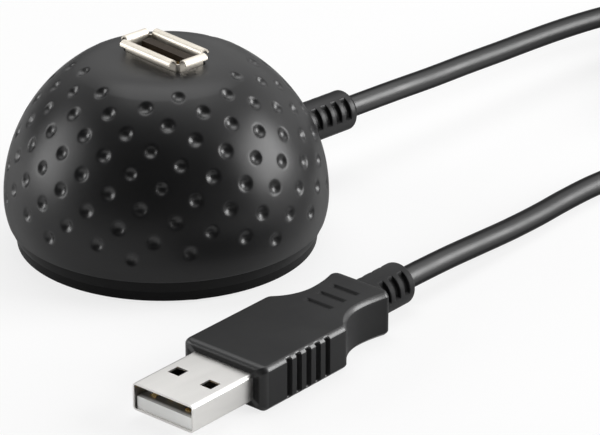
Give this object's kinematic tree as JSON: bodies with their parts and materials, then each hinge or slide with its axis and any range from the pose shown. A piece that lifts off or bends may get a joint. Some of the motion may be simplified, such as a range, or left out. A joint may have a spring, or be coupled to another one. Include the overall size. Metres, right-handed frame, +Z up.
{
  "type": "usb extension dock",
  "caption": "Dimpled black dome on a weighted base, with a USB type A socket in its flat top, a cable out of its back and a type A plug on the end of the cable.",
  "frame": {"origin": "on the table under the middle of the dome", "axes": "+X along the mouth of the socket, +Y out of the back of the dome along the cable, +Z up"},
  "size_m": [0.0928, 0.2089, 0.0341],
  "materials": {
    "dome_plastic": "satin moulded",
    "base_plastic": "satin moulded",
    "screw_steel": "zinc plated",
    "foot_rubber": "matte",
    "ballast_steel": "turned",
    "socket_nickel": "bright nickel plate",
    "socket_plastic": "moulded",
    "contact_gold": "gold flash",
    "board_green": "solder mask",
    "relief_rubber": "satin",
    "cable_jacket": "semi-gloss",
    "wire_red": "smooth",
    "wire_white": "smooth",
    "wire_green": "smooth",
    "wire_black": "smooth",
    "tie_strap": "woven hook and loop",
    "grip_plastic": "satin moulded",
    "plug_steel": "bright nickel plate",
    "plug_white": "moulded",
    "inner_mould": "natural"
  },
  "bodies": {
    "root": {"dome_shell": "dome_plastic", "base_plate": "base_plastic", "base_screws": "screw_steel", "rubber_feet": "foot_rubber", "ballast_weight": "ballast_steel", "socket_shell": "socket_nickel", "socket_insulator": "socket_plastic", "socket_contacts": "contact_gold", "socket_board": "board_green", "board_screws": "screw_steel", "strain_relief": "relief_rubber", "cable_tail": "cable_jacket", "wire_red": "wire_red", "wire_white": "wire_white", "wire_green": "wire_green", "wire_black": "wire_black", "cable_dock_run": "cable_jacket", "cable_coil": "cable_jacket", "cable_plug_run": "cable_jacket", "coil_tie": "tie_strap", "plug_overmould": "grip_plastic", "plug_shell": "plug_steel", "plug_insulator": "plug_white", "plug_contacts": "contact_gold", "plug_inner_mould": "inner_mould", "plug_tail": "cable_jacket"}
  },
  "joints": []
}
